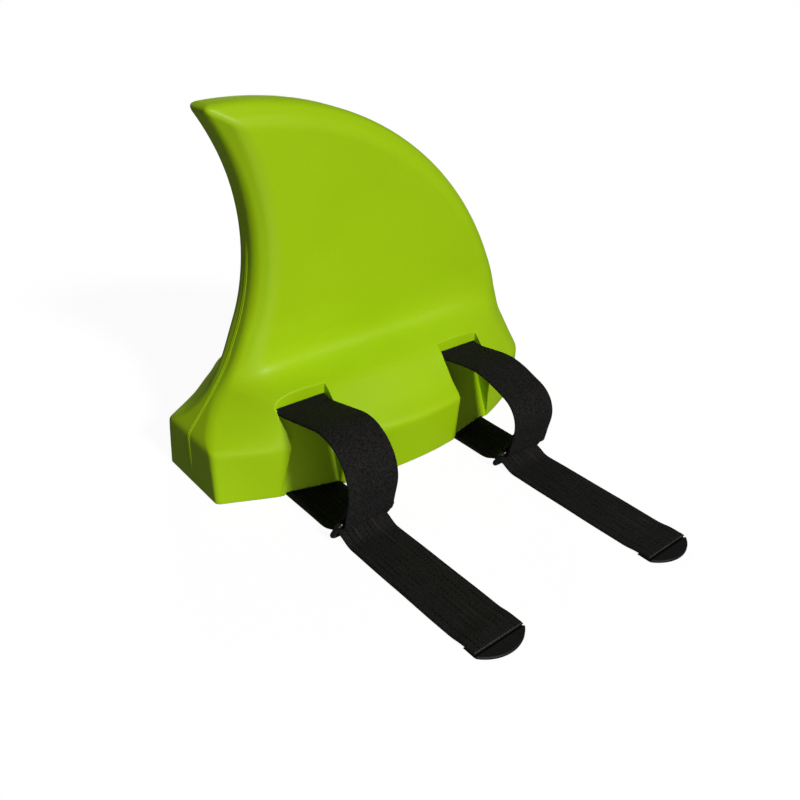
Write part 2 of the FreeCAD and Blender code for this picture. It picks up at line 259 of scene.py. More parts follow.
def rib_face_material():
    """Ribbed back of the elastic: rows of dark dashes between the ribs and fine pale threads along it."""
    material, shader = new_material("webbing_ribbed_back", 0.85, 0.15)
    add, link = node_maker(material)
    calculate = calculator(add, link)
    run = add("Attribute", {"attribute_name": "run"}).outputs["Fac"]
    across = add("Attribute", {"attribute_name": "across"}).outputs["Fac"]

    # a dash where the back dips between two ribs, broken up along the webbing
    ribs = calculate("COSINE", calculate("MULTIPLY", across, 2 * math.pi / RIB))
    groove = add("MapRange", {"interpolation_type": "SMOOTHSTEP"},
                 From_Min=-0.55, From_Max=-0.85, To_Min=0.0, To_Max=1.0)
    link(ribs, groove.inputs["Value"])
    row = calculate("FLOOR", calculate("DIVIDE", across, RIB))
    step = calculate("ADD", calculate("DIVIDE", run, DASH), calculate("MULTIPLY", row, 0.37))
    part = calculate("ABSOLUTE", calculate("SUBTRACT", calculate("FRACT", step), 0.5))
    dash = add("MapRange", {"interpolation_type": "SMOOTHSTEP"},
               From_Min=0.38, From_Max=0.28, To_Min=0.0, To_Max=1.0)
    link(part, dash.inputs["Value"])
    # the dashes show in some stretches and fade out in others
    spread = add("CombineXYZ")
    link(calculate("MULTIPLY", across, 0.16), spread.inputs["X"])
    link(calculate("MULTIPLY", run, 0.05), spread.inputs["Y"])
    patch = add("TexNoise", Scale=1.0, Detail=1.0, Roughness=0.5)
    link(spread.outputs["Vector"], patch.inputs["Vector"])
    shown = add("MapRange", {"interpolation_type": "SMOOTHSTEP"},
                From_Min=0.42, From_Max=0.62, To_Min=0.12, To_Max=0.85)
    link(patch.outputs["Fac"], shown.inputs["Value"])
    dark = calculate("MULTIPLY", groove.outputs["Result"],
                     calculate("MULTIPLY", dash.outputs["Result"], shown.outputs["Result"]))

    # pale threads that come and go
    lie = add("CombineXYZ")
    link(calculate("MULTIPLY", across, 1.7), lie.inputs["X"])
    link(calculate("MULTIPLY", run, 0.021), lie.inputs["Y"])
    streak = add("TexNoise", Scale=1.0, Detail=2.0, Roughness=0.5)
    link(lie.outputs["Vector"], streak.inputs["Vector"])
    thread = add("MapRange", From_Min=0.655, From_Max=0.72, To_Min=0.0, To_Max=1.0)
    link(streak.outputs["Fac"], thread.inputs["Value"])

    place = add("TexCoord").outputs["Object"]
    fluff = add("TexNoise", Scale=900.0, Detail=3.0, Roughness=0.65)
    link(place, fluff.inputs["Vector"])
    tint = two_tone(add, 0.32, (0.005, 0.0047, 0.0044), 0.72, (0.0235, 0.0222, 0.021))
    link(fluff.outputs["Fac"], tint.inputs["Fac"])
    dashed = add("Mix", {"data_type": "RGBA"})
    link(dark, dashed.inputs["Factor"])
    link(tint.outputs["Color"], dashed.inputs[6])
    dashed.inputs[7].default_value = (0.0014, 0.0013, 0.0013, 1)
    streaked = add("Mix", {"data_type": "RGBA"})
    link(thread.outputs["Result"], streaked.inputs["Factor"])
    link(dashed.outputs[2], streaked.inputs[6])
    streaked.inputs[7].default_value = (0.055, 0.053, 0.05, 1)
    link(streaked.outputs[2], shader.inputs["Base Color"])

    height = calculate("SUBTRACT", calculate("MULTIPLY", fluff.outputs["Fac"], 0.5), dark)
    bump = add("Bump", Strength=0.7, Distance=0.0004)
    link(height, bump.inputs["Height"])
    link(bump.outputs["Normal"], shader.inputs["Normal"])
    return material


def plain_material(name, color, roughness, specular, grain_scale, grain):
    material, shader = new_material(name, roughness, specular)
    add, link = node_maker(material)
    place = add("TexCoord").outputs["Object"]
    noise = add("TexNoise", Scale=grain_scale, Detail=2.0)
    link(place, noise.inputs["Vector"])
    tint = two_tone(add, 0.3, [c * 0.75 for c in color], 0.7, [c * 1.25 for c in color])
    link(noise.outputs["Fac"], tint.inputs["Fac"])
    link(tint.outputs["Color"], shader.inputs["Base Color"])
    bump = add("Bump", Strength=grain, Distance=0.0003)
    link(noise.outputs["Fac"], bump.inputs["Height"])
    link(bump.outputs["Normal"], shader.inputs["Normal"])
    return material


RIB = 4.2                    # spacing of the ribs on the elastic's back
DASH = 3.2                   # spacing of the dashes along it

FOAM = foam_material()
LOOP_FACE = loop_face_material()
RIB_FACE = rib_face_material()
NYLON = plain_material("ring_nylon", (0.006, 0.006, 0.0065), 0.24, 0.5, 300.0, 0.08)
HOOK_TAPE = plain_material("hook_tape", (0.007, 0.0068, 0.007), 0.55, 0.3, 1400.0, 0.5)
SEAM_THREAD = plain_material("seam_thread", (0.007, 0.0068, 0.0065), 0.6, 0.3, 2500.0, 0.5)
# pale grey stitches whose colour is a painted highlight along the elastic's cut edge
END_THREAD_PAINTED_HIGHLIGHT = plain_material("end_thread_painted_highlight", (0.085, 0.083, 0.078), 0.6, 0.3, 2500.0, 0.5)


# ------------------------------------------------------------ foam body
def against_height(known, values):
    """Values against height on the grid HEIGHTS: straight up to the crease, never overshooting above
    it, and with the crease rounded."""
    rise = np.diff(values) / np.diff(known)
    slope = np.zeros(len(known))
    for i in range(2, len(known) - 1):
        if rise[i - 1] * rise[i] > 0:
            slope[i] = 2 * rise[i - 1] * rise[i] / (rise[i - 1] + rise[i])
    slope[1] = rise[1] * 1.5 - slope[2] / 2
    slope[-1] = rise[-1]
    out = values[0] + rise[0] * HEIGHTS
    for i in range(1, len(known) - 1):
        span = known[i + 1] - known[i]
        inside = HEIGHTS >= known[i]
        t = (HEIGHTS[inside] - known[i]) / span
        out[inside] = ((1 + 2 * t) * (1 - t) ** 2 * values[i] + t * (1 - t) ** 2 * span * slope[i]
                       + t * t * (3 - 2 * t) * values[i + 1] + t * t * (t - 1) * span * slope[i + 1])
    reach = np.arange(-9.0, 9.01, HEIGHT_STEP)
    weight = np.exp(-(reach / CREASE_SOFT) ** 2 / 2)
    weight /= weight.sum()
    ends = len(reach) // 2
    below = out[0] + (out[1] - out[0]) * np.arange(-ends, 0)
    above = out[-1] + (out[-1] - out[-2]) * np.arange(1, ends + 1)
    return np.convolve(np.concatenate([below, out, above]), weight, "valid")


def level_values():
    """The columns of SIDE and ENDS against height, carried on up the fin."""
    side = [list(row) for row in SIDE]
    ends = [list(row) for row in ENDS]
    for z in (FIN_FOOT, 130.0, 145.0, 160.0):
        rear = edge_x(TRAIL, z)
        front = edge_x(LEAD, z)
        start = rear + BEVEL * TRAIL[2] / (rear - TRAIL[0])
        end = front - BEVEL * LEAD[2] / (front - LEAD[0])
        side.append([z] + [FLANK] * len(SIDE_X))
        ends.append([z, rear, FACET, start, FLANK, end, FLANK, front, FACET])
    side = np.array(side)
    ends = np.array(ends)
    known = side[:, 0]
    return ([against_height(known, side[:, i]) for i in range(1, side.shape[1])],
            [against_height(known, ends[:, i]) for i in range(1, ends.shape[1])])


def spline_weights(x):
    """Weights of the values at SIDE_X in a smooth curve through them, at each x."""
    knots = np.array(SIDE_X)
    count = len(knots)
    gap = np.diff(knots)
    left = np.zeros((count, count))
    right = np.zeros((count, count))
    left[0, 0] = left[-1, -1] = 1.0
    for i in range(1, count - 1):
        left[i, i - 1:i + 2] = gap[i - 1], 2 * (gap[i - 1] + gap[i]), gap[i]
        right[i, i - 1:i + 2] = 6 / gap[i - 1], -6 / gap[i - 1] - 6 / gap[i], 6 / gap[i]
    bend = np.linalg.solve(left, right)
    x = np.asarray(x, float)
    i = np.clip(np.searchsorted(knots, x) - 1, 0, count - 2)
    h = gap[i]
    a = (knots[i + 1] - x) / h
    b = (x - knots[i]) / h
    inside = (a >= 0) & (b >= 0)
    ca = np.where(inside, (a ** 3 - a) * h * h / 6, 0)
    cb = np.where(inside, (b ** 3 - b) * h * h / 6, 0)
    eye = np.eye(count)
    return [a * eye[i, k] + b * eye[i + 1, k] + ca * bend[i, k] + cb * bend[i + 1, k]
            for k in range(count)]


HEIGHTS = np.arange(-12.0, 160.0, HEIGHT_STEP)
SIDES, CORNERS = level_values()


def corner(i, z):
    return np.interp(z, HEIGHTS, CORNERS[i])


def side_width(x, z):
    """Half width of the base or flare at x and height z, ignoring its ends."""
    total = 0.0
    for weight, column in zip(spline_weights(x), SIDES):
        total = total + weight * np.interp(z, HEIGHTS, column)
    return total


def bevel_plane(x, a, z, facet, bevel):
    """Distance outside the bevel between two corners of ENDS, at half width a."""
    fx, fy = corner(facet, z), corner(facet + 1, z)
    bx, by = corner(bevel, z), corner(bevel + 1, z)
    sign = np.sign(bx - fx)
    run = np.hypot(bx - fx, by - fy)
    return ((a - fy) * np.abs(bx - fx) - (x - fx) * sign * (by - fy)) / run


def flare_distance(x, a, z):
    h = 0.5
    side = side_width(x, z)
    slope_x = (side_width(x + h, z) - side) / h
    slope_z = (side_width(x, z + h) - side) / h
    inside = (a - side) / np.sqrt(1 + slope_x ** 2 + slope_z ** 2)
    for facet, bevel in ((0, 2), (6, 4)):
        plane = bevel_plane(x, a, z, facet, bevel)
        climb = (bevel_plane(x, a, z + h, facet, bevel) - plane) / h
        inside = meet(inside, plane / np.sqrt(1 + climb ** 2), BEVEL_ROUND)
    rear = corner(0, z)
    front = corner(6, z)
    rear_slope = (corner(0, z + h) - rear) / h
    front_slope = (corner(6, z + h) - front) / h
    inside = meet(inside, (rear - x) / np.sqrt(1 + rear_slope ** 2), EDGE_ROUND)
    return meet(inside, (x - front) / np.sqrt(1 + front_slope ** 2), EDGE_ROUND)


def fin_distance(x, a, z):
    lead = np.hypot(x - LEAD[0], z - LEAD[1]) - LEAD[2]
    trail = TRAIL[2] - np.hypot(x - TRAIL[0], z - TRAIL[1])
    steep = (FLANK - FACET) / BEVEL
    inside = a - FLANK
    away = ease((np.hypot(x - TIP[0], z - TIP[1]) - 8.0) / 50.0)
    for edge in (lead, trail):
        bevel = (a - FACET + steep * edge) / math.hypot(1, steep)
        inside = meet(inside, bevel, EDGE_ROUND + 1.2 * away)
    for edge in (lead, trail):
        inside = meet(inside, edge, EDGE_ROUND + away)
    # the point is blunt
    beyond = TIP_WAY[0] * (x - TIP[0]) + TIP_WAY[1] * (z - TIP[1]) + TIP_CUT
    return meet(inside, beyond, TIP_ROUND)


def foot_width(x):
    """Half width of the base where it meets the floor."""
    return 73.0 - 37.7 * (x / HALF_LENGTH) ** 2


def foam_distance(x, y, z):
    """Signed distance from the foam's surface, negative inside."""
    a = np.abs(y)
    # the flare is a little leaner at the back of the far side
    lean = np.where(y > 0, FAR_LEAN, 0.0) * ease((-55.0 - x) / 35.0) * np.exp(-((z - 70.0) / 22.0) ** 2)
    low = flare_distance(x, a * (1 + lean), np.minimum(z, 140.0))
    high = fin_distance(x, a, z)
    t = ease((z - 108.0) / 18.0)
    body = low * (1 - t) + high * t
    body = meet(body, -z, 0.7)
    for heights, left, right in RECESSES.values():
        wall0 = np.interp(z, heights, left)
        wall1 = np.interp(z, heights, right)
        foot0 = foot_width(left[0])
        foot1 = foot_width(right[0])
        share = (x - left[0]) / (right[0] - left[0])
        face = np.where(y < 0, NEAR_FACE, FAR_FACE)
        out = foot0 + (foot1 - foot0) * share - np.where(y < 0, 0.8, 2.5) - face
        down = (RAMP_TOP - z) / RAMP_TOP
        down = 0.5 * (down + np.sqrt(down ** 2 + 0.002))
        ramp = face + out * down
        walls = meet(wall0 - x, x - wall1, 0.1)
        recess = meet(walls, (ramp - a) * 0.95, RECESS_ROUND)
        body = meet(body, -recess, RECESS_ROUND)
        across = np.abs(x - (left[-1] + right[-1]) / 2) - (right[-1] - left[-1]) / 2
        tall = (SLOT_HIGH - SLOT_LOW) / 2
        slot = meet(across, np.abs(z - SLOT_LOW - tall) - tall, 0.6)
        body = meet(body, -slot, 0.5)
        channel = meet(across, z - CHANNEL, 0.5)
        body = meet(body, -channel, 0.5)
    return body


def onto_surface(points, rounds):
    """Points moved onto the foam's surface."""
    points = points.copy()
    step = 0.05
    for _ in range(rounds):
        value = foam_distance(*points.T)
        slope = np.empty_like(points)
        for axis in range(3):
            ahead = points.copy()
            ahead[:, axis] += step
            behind = points.copy()
            behind[:, axis] -= step
            slope[:, axis] = (foam_distance(*ahead.T) - foam_distance(*behind.T)) / (2 * step)
        size = np.maximum((slope ** 2).sum(1), 0.25)
        move = np.clip(value / size, -1.0, 1.0)
        points -= slope * move[:, None]
    return points


def foam_mesh(voxel):
    low = np.array([-152.0, -80.0, -3.0])
    count = (np.array([304.0, 160.0, 266.0]) / voxel).astype(int) + 1
    x = (low[0] + voxel * np.arange(count[0]))[:, None, None]
    y = (low[1] + voxel * np.arange(count[1]))[None, :, None]
    z = (low[2] + voxel * np.arange(count[2]))[None, None, :]
    field = foam_distance(x, y, z).astype(np.float32)
    grid = openvdb.FloatGrid(10.0)
    grid.copyFromArray(field)
    points, quads = grid.convertToQuads(0.0)
    points = np.asarray(points, float) * voxel + low
    quads = np.asarray(quads, int)
    # even out the quads, keeping them on the surface
    pairs = np.concatenate([quads[:, [0, 1]], quads[:, [1, 2]], quads[:, [2, 3]], quads[:, [3, 0]]])
    pairs = np.concatenate([pairs, pairs[:, ::-1]])
    links = np.bincount(pairs[:, 0], minlength=len(points))
    points = onto_surface(points, 2)
    for _ in range(3):
        total = np.zeros_like(points)
        for axis in range(3):
            total[:, axis] = np.bincount(pairs[:, 0], points[pairs[:, 1], axis], len(points))
        points = points * 0.5 + total / links[:, None] * 0.5
        points = onto_surface(points, 2)
    return points, quads


def outward(points):
    """Unit normals of the foam's surface."""
    step = 0.2
    slope = np.empty_like(points)
    for axis in range(3):
        shift = np.zeros(3)
        shift[axis] = step
        slope[:, axis] = foam_distance(*(points + shift).T) - foam_distance(*(points - shift).T)
    return slope / np.linalg.norm(slope, axis=1)[:, None]


def refined(points, quads, others, turn):
    """Cuts in four the quads over which the surface turns more than turn, in radians.

    others are faces of more than four points. They, and whole quads beside a cut one, gain the new
    points on their edges. Returns the points, the quads and the other faces."""
    normal = outward(points)[quads]
    bend = np.min(np.einsum("ijk,ijk->ij", normal, np.roll(normal, 1, 1)), 1)
    bend = np.minimum(bend, np.einsum("ij,ij->i", normal[:, 0], normal[:, 2]))
    cut = bend < math.cos(turn)
    edges = np.sort(np.stack([quads, np.roll(quads, -1, 1)], -1), -1)
    keys = edges @ np.array([len(points), 1])
    split = np.unique(keys[cut])
    middles = (points[split // len(points)] + points[split % len(points)]) / 2
    centres = points[quads[cut]].mean(1)
    spot = np.minimum(np.searchsorted(split, keys), len(split) - 1)
    new = np.where(split[spot] == keys, spot + len(points), -1)
    centre = len(points) + len(middles) + np.arange(cut.sum())
    small = [np.stack([quads[cut, i], new[cut, i], centre, new[cut, i - 1]], 1) for i in range(4)]
    touched = ~cut & (new >= 0).any(1)
    faces = []
    for quad, extra in zip(quads[touched].tolist(), new[touched].tolist()):
        faces.append([p for pair in zip(quad, extra) for p in pair if p >= 0])
    added = {key: index + len(points) for index, key in enumerate(split.tolist())}
    for face in others:
        whole = []
        for p, q in zip(face, face[1:] + face[:1]):
            whole.append(p)
            key = min(p, q) * len(points) + max(p, q)
            if key in added:
                whole.append(added[key])
        faces.append(whole)
    fresh = onto_surface(np.concatenate([middles, centres]), 3)
    return np.concatenate([points, fresh]), np.concatenate([quads[~cut & ~touched]] + small), faces


def build_foam():
    points, quads = foam_mesh(VOXEL)
    corners = points[quads]
    volume = np.einsum("ij,ij->i", corners[:, 0], np.cross(corners[:, 1], corners[:, 2])).sum()
    volume += np.einsum("ij,ij->i", corners[:, 0], np.cross(corners[:, 2], corners[:, 3])).sum()
    if volume < 0:
        quads = quads[:, ::-1]
    points, quads, others = refined(points, quads, [], math.radians(14))
    points, quads, others = refined(points, quads, others, math.radians(20))
    foam = new_mesh("foam_float", points, quads.tolist() + others, "float", [FOAM])
    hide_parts("fin_float")


build_foam()


# ------------------------------------------------------------ swept pieces
def sweep(path, across, profile, closed=False, scale=None):
    """Points and faces of a profile swept along a path that lies in a plane.

    across is the plane's normal. The profile is a closed loop of (outwards, across) pairs, either one
    for the whole path or one for each point of it. scale shrinks it at each point."""
    path = np.asarray(path, float)
    count = len(path)
    if closed:
        tangent = np.roll(path, -1, 0) - np.roll(path, 1, 0)
    else:
        tangent = np.gradient(path, axis=0)
    tangent /= np.linalg.norm(tangent, axis=1)[:, None]
    across = np.asarray(across, float)
    outward = np.cross(across, tangent)
    profile = np.asarray(profile, float)
    if profile.ndim == 2:
        profile = np.repeat(profile[None], count, 0)
    if scale is not None:
        profile = profile * np.asarray(scale)[:, None, :]
    points = path[:, None] + outward[:, None] * profile[:, :, :1] + across * profile[:, :, 1:]
    ring = profile.shape[1]
    i = np.arange(count if closed else count - 1)[:, None]
    j = np.arange(ring)[None, :]
    k = (j + 1) % ring
    n = (i + 1) % count
    quads = np.stack([i * ring + j, i * ring + k, n * ring + k, n * ring + j], -1).reshape(-1, 4)
    faces = [tuple(q) for q in quads]
    if not closed:
        faces.append(tuple(range(ring))[::-1])
        faces.append(tuple(range((count - 1) * ring, count * ring)))
    return points.reshape(-1, 3), faces


def circle_profile(radius, sides):
    turn = np.arange(sides) * 2 * math.pi / sides
    return np.stack([np.cos(turn), np.sin(turn)], 1) * radius


def rounded_path(corners, step):
    """Points along straight runs with rounded corners. Each corner is (y, z, radius of its bend)."""
    points = []
    spots = np.array([corner[:2] for corner in corners], float)
    last = spots[0]
    for i in range(1, len(corners)):
        if i == len(corners) - 1:
            arc = [spots[i]]
        else:
            a = spots[i - 1] - spots[i]
            b = spots[i + 1] - spots[i]
            a /= np.linalg.norm(a)
            b /= np.linalg.norm(b)
            half = math.acos(np.clip(a @ b, -1, 1)) / 2
            radius = corners[i][2]
            middle = (a + b) / np.linalg.norm(a + b)
            hub = spots[i] + middle * radius / math.sin(half)
            first = spots[i] + a * radius / math.tan(half) - hub
            bend = math.pi - 2 * half
            turns = max(3, int(radius * bend / step) + 1)
            sign = 1 if a[0] * b[1] - a[1] * b[0] < 0 else -1
            arc = []
            for turn in np.linspace(0, bend * sign, turns):
                c, s = math.cos(turn), math.sin(turn)
                arc.append(hub + np.array([c * first[0] - s * first[1], s * first[0] + c * first[1]]))
        length = np.linalg.norm(arc[0] - last)
        pieces = max(1, int(length / step))
        points += [last + (arc[0] - last) * t for t in np.linspace(0, 1, pieces, endpoint=False)]
        points += arc[:-1]
        last = arc[-1]
    points.append(last)
    return np.array(points)


def softened(points, reach):
    """Points spaced evenly and smoothed over about reach, with both ends kept."""
    length = np.concatenate([[0], np.cumsum(np.linalg.norm(np.diff(points, axis=0), axis=1))])
    fine = np.arange(0, length[-1], 0.25)
    even = np.stack([np.interp(fine, length, points[:, i]) for i in range(2)], 1)
    tail = int(3 * reach / 0.25)
    weight = np.exp(-(np.arange(-tail, tail + 1) * 0.25 / reach) ** 2 / 2)
    weight /= weight.sum()
    start = 2 * even[0] - even[1:tail + 1][::-1]
    end = 2 * even[-1] - even[-tail - 1:-1][::-1]
    whole = np.concatenate([start, even, end])
    return np.stack([np.convolve(whole[:, i], weight, "valid") for i in range(2)], 1)


def spaced(points, step):
    """The same line with points about step apart."""
    length = np.concatenate([[0], np.cumsum(np.linalg.norm(np.diff(points, axis=0), axis=1))])
    count = int(length[-1] / step) + 1
    along = np.linspace(0, length[-1], count)
    return along, np.stack([np.interp(along, length, points[:, i]) for i in range(2)], 1)


# ------------------------------------------------------------ parting line
def build_parting_line():
    """Double bead that the mould's joint left down the rear of the foam."""
    z = np.concatenate([np.arange(9.0, 37.0, 2.0), np.arange(37.0, 175.0, 1.5)])
    x = np.where(z < FIN_FOOT, corner(0, np.minimum(z, FIN_FOOT)), 0.0)
    high = z >= FIN_FOOT
    x[high] = [edge_x(TRAIL, height) for height in z[high]]
    path = onto_surface(np.stack([x, np.zeros_like(x), z], 1), 6)
    across = np.linspace(-1.6, 1.6, 33)
    top = 0.4 * np.exp(-((np.abs(across) - 0.85) / 0.3) ** 2) - 0.05
    profile = np.concatenate([np.stack([top, across], 1), [(-0.7, 1.6), (-0.7, -1.6)]])
    fade = ease(np.minimum(z - 8.0, 174.5 - z) / 14.0)
    rows = np.repeat(profile[None], len(path), 0)
    rows[:, :33, 0] = (top + 0.05) * fade[:, None] - 0.05
    points, faces = sweep(path[::-1], (0, 1, 0), rows[::-1])
    new_mesh("foam_parting_bead", points, faces, "float", [FOAM])


build_parting_line()


# ------------------------------------------------------------ straps
SEAM = 9.5                   # the sewn fold runs from here to FOLD above the ring's top bar
FOLD = 17.0
SEAM_ROWS = (10.5, 13.0)


def loop_frame(bar_y):
    """Ring's top bar, direction down the webbing above it and outwards from it, as (y, z)."""
    bar = np.array([bar_y, BAR_Z])
    down = np.array([math.sin(LEAN), -math.cos(LEAN)])
    out = np.array([-math.cos(LEAN), -math.sin(LEAN)])
    return bar, down, out


def strap_line(name):
    """Middle line of a whole strap as (y, z), from its sewn fold to its cut end."""
    centre, bar_y, end_y, rise, bend, further = STRAPS[name]
    bar, down, out = loop_frame(bar_y)
    meet_at = bar + out * LOOP_R
    fold_end = meet_at - down * FOLD - out * STRAP_T
    seam = meet_at - down * SEAM - out * STRAP_T
    loop = [fold_end, seam]
    for turn in np.radians(np.arange(0, 181, 12)):
        loop.append(bar - out * LOOP_R * math.cos(turn) + down * LOOP_R * math.sin(turn))
    loop = softened(np.array(loop), 0.7)
    start = meet_at - down * 18.0
    outer = start - down * rise
    foot = max(foot_width(centre - STRAP_W / 2), foot_width(centre + STRAP_W / 2)) - 2.5
    corners = [(*meet_at, 0), (*outer, bend)] + further
    corners += [(-52.0, LEVEL, 20.0), (FAR_FACE + 3.6, LEVEL, 4.0), (foot + 1.9, 1.1, 1.6),
                (bar_y + 19.0, 1.1, 20.0), (bar_y + 6.0, 7.7, 14.0), (bar_y - 7.5, 1.1, 14.0),
                (end_y + 19.0, 1.1, 20.0), (end_y + 11.0, 2.35, 20.0), (end_y, 2.35, 0)]
    run = softened(rounded_path(corners, 0.5), 1.0)
    return np.concatenate([loop[:-1], run]), len(loop)


def webbing_profile():
    """Section of the elastic as (outwards, across) pairs: loop face outwards, ribs on its back."""
    flat = np.linspace(-19.2, 19.2, 65)
    ribs = 0.92 + 0.09 * np.cos(2 * math.pi * flat / RIB)
    round_edge = np.radians(np.linspace(70, -70, 6))
    edge = np.stack([np.sin(round_edge) * 0.95, 19.2 + np.cos(round_edge) * 0.8], 1)
    face = np.stack([np.full(len(flat), 1.0), flat], 1)
    back = np.stack([-ribs, flat], 1)[::-1]
    other = np.stack([-edge[:, 0], -edge[:, 1]], 1)
    return np.concatenate([face, edge, back, other]), len(flat)


def build_webbing(name):
    centre, bar_y, *rest = STRAPS[name]
    line, loop_points = strap_line(name)
    along, line = spaced(line, 1.3)
    profile, faces_across = webbing_profile()
    count = len(line)
    # the sewn seam pulls the layers together, the cut ends are pinched, and the edges wander a little
    thick = np.ones(count)
    bar, down, out = loop_frame(bar_y)
    height = (line - bar) @ -down
    outer_side = (line - bar) @ out > 0
    for row in SEAM_ROWS:
        thick -= 0.14 * np.exp(-((height - row) / 0.8) ** 2) * (np.abs(height) < 30) * outer_side
    from_end = np.minimum(along, along[-1] - along)
    thick *= 0.6 + 0.4 * ease(from_end / 1.2)
    wide = 1 + 0.005 * np.sin(along / 21) + 0.004 * np.sin(along / 8.3 + 1)
    path = np.stack([np.full(count, centre), line[:, 0], line[:, 1]], 1)
    points, faces = sweep(path, (1, 0, 0), profile, scale=np.stack([thick, wide], 1))
    piece = new_mesh(name + "_webbing", points, faces, None, [LOOP_FACE, RIB_FACE])
    ring = len(profile)
    back = range(faces_across + 5, 2 * faces_across + 7)
    materials = [1 if index % ring in back else 0 for index in range(len(faces) - 2)] + [0, 0]
    piece.data.polygons.foreach_set("material_index", materials)
    run = piece.data.attributes.new("run", "FLOAT", "POINT")
    run.data.foreach_set("value", np.repeat(along, ring).astype(np.float32))
    across = piece.data.attributes.new("across", "FLOAT", "POINT")
    across.data.foreach_set("value", np.tile(profile[:, 1], count).astype(np.float32))
    piece.data.set_sharp_from_angle(angle=math.radians(50))
    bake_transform(piece)
    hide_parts(name + "_strap_band", name + "_strap_tail")


def build_ring(name):
    centre, bar_y, *rest = STRAPS[name]
    drop = BAR_Z - BAR_R - 0.35
    back = math.sqrt(RING_H ** 2 - drop ** 2)
    top = np.array([centre, bar_y, BAR_Z])
    foot = np.array([centre, bar_y + back, BAR_Z - drop])
    up = (top - foot) / np.linalg.norm(top - foot)
    middle = (top + foot) / 2
    corner_r = 3.2
    path = []
    for sx, sh, start in ((1, 1, 90), (1, -1, 0), (-1, -1, -90), (-1, 1, -180)):
        hub = np.array([sx * (RING_W / 2 - corner_r), sh * (RING_H / 2 - corner_r)])
        for turn in np.radians(np.linspace(start, start - 90, 9)):
            path.append(hub + corner_r * np.array([math.cos(turn), math.sin(turn)]))
    flat = []
    for a, b in zip(path, path[1:] + path[:1]):
        pieces = max(1, int(np.linalg.norm(b - a) / 1.5))
        flat += [a + (b - a) * t for t in np.linspace(0, 1, pieces, endpoint=False)]
    path = np.array([middle + np.array([1, 0, 0]) * p[0] + up * p[1] for p in flat])
    points, faces = sweep(path, np.cross(up, (1, 0, 0)), circle_profile(BAR_R, 28), closed=True)
    piece = new_mesh(name + "_ring_moulding", points, faces, name + "_ring", [NYLON])
    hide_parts(name + "_ring")


def build_tab(name):
    """Hook tape sewn under the end of the elastic and running on as a half round, hooks downwards."""
    centre, bar_y, end_y, *rest = STRAPS[name]
    half = STRAP_W / 2 - 0.05
    reach = 9.0
    radius = (half ** 2 + reach ** 2) / (2 * reach)
    shoulder = end_y - 1.5
    hub_y = shoulder - reach + radius
    turns = np.linspace(math.asin(half / radius), 0.02, 26)
    y = np.concatenate([np.arange(end_y + 8.9, shoulder, -0.65), hub_y - radius * np.cos(turns)])
    wide = np.where(y > shoulder, half, np.sqrt(np.maximum(radius ** 2 - (hub_y - y) ** 2, 0)))
    share = np.sin(np.linspace(-1, 1, 41) * math.pi / 2)
    x = wide[:, None] * share
    y = np.repeat(y[:, None], len(share), 1)
    rim = np.minimum(wide[:, None] - np.abs(x), np.where(y < hub_y, radius - np.hypot(x, y - hub_y), 9.0))
    rim = np.minimum(rim, end_y + 8.9 - y)
    near = 1 - np.clip(rim / 0.9, 0, 1)
    fall = 1 - np.sqrt(1 - near ** 2)
    top = 1.3 + 1.15 * ease((end_y - 0.3 - y) / 0.9) - 0.8 * fall
    low = 0.5 + 0.25 * fall
    rows, columns = x.shape
    points = np.concatenate([np.stack([centre + x, y, level], -1).reshape(-1, 3) for level in (top, low)])
    under = rows * columns
    faces = []
    for i in range(rows - 1):
        for j in range(columns - 1):
            p = i * columns + j
            quad = (p, p + columns, p + columns + 1, p + 1)
            faces.append(quad)
            faces.append(tuple(under + q for q in quad[::-1]))
    border = list(range(columns))
    border += [i * columns + columns - 1 for i in range(1, rows)]
    border += [(rows - 1) * columns + j for j in range(columns - 2, -1, -1)]
    border += [i * columns for i in range(rows - 2, 0, -1)]
    for p, q in zip(border, border[1:] + border[:1]):
        faces.append((p, q, under + q, under + p))
    points = points.tolist()
    # hooks: little curled stalks in rows, each a tapering tube through these (back, drop, radius)
    curl = ((0.0, 0.0, 0.17), (0.0, 0.2, 0.15), (0.1, 0.36, 0.13), (0.3, 0.37, 0.08))
    for i, hook_y in enumerate(np.arange(end_y + 7.6, end_y - 9.0, -1.35)):
        room = half if hook_y > shoulder else math.sqrt(radius ** 2 - (hub_y - hook_y) ** 2)
        for hook_x in np.arange(-18.0, 18.1, 1.5) + 0.75 * (i % 2):
            if abs(hook_x) > room - 1.2:
                continue
            base = len(points)
            for back, drop, thick in curl:
                for turn in np.radians((0, 72, 144, 216, 288)):
                    points.append((centre + hook_x + thick * math.cos(turn),
                                   hook_y + back + thick * math.sin(turn) * 0.8, 0.56 - drop))
            for ring in range(3):
                for k in range(5):
                    p = base + ring * 5 + k
                    q = base + ring * 5 + (k + 1) % 5
                    faces.append((p, p + 5, q + 5, q))
            faces.append(tuple(base + 15 + k for k in range(5)))
    piece = new_mesh(name + "_hook_tape", points, faces, name + "_tail", [HOOK_TAPE])
    piece.data.set_sharp_from_angle(angle=math.radians(50))
    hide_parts(name + "_hook_tab")


def stitch_points(at, run, out, length, width):
    """One stitch: a short rounded thread lying along run and half sunk, as points and faces."""
    sides = 8
    along = np.radians(np.linspace(-90, 90, 7))
    side = np.cross(run, out)
    rows = []
    for turn in along:
        reach = math.cos(turn)
        for k in range(sides):
            angle = k * 2 * math.pi / sides
            rows.append(at + run * math.sin(turn) * length / 2
                        + (side * math.cos(angle) + out * math.sin(angle)) * width / 2 * max(reach, 0.15))
    faces = []
    for i in range(len(along) - 1):
        for k in range(sides):
            n = (k + 1) % sides
            faces.append((i * sides + k, i * sides + n, (i + 1) * sides + n, (i + 1) * sides + k))
    faces.append(tuple(range(sides))[::-1])
    faces.append(tuple(range((len(along) - 1) * sides, len(along) * sides)))
    return rows, faces


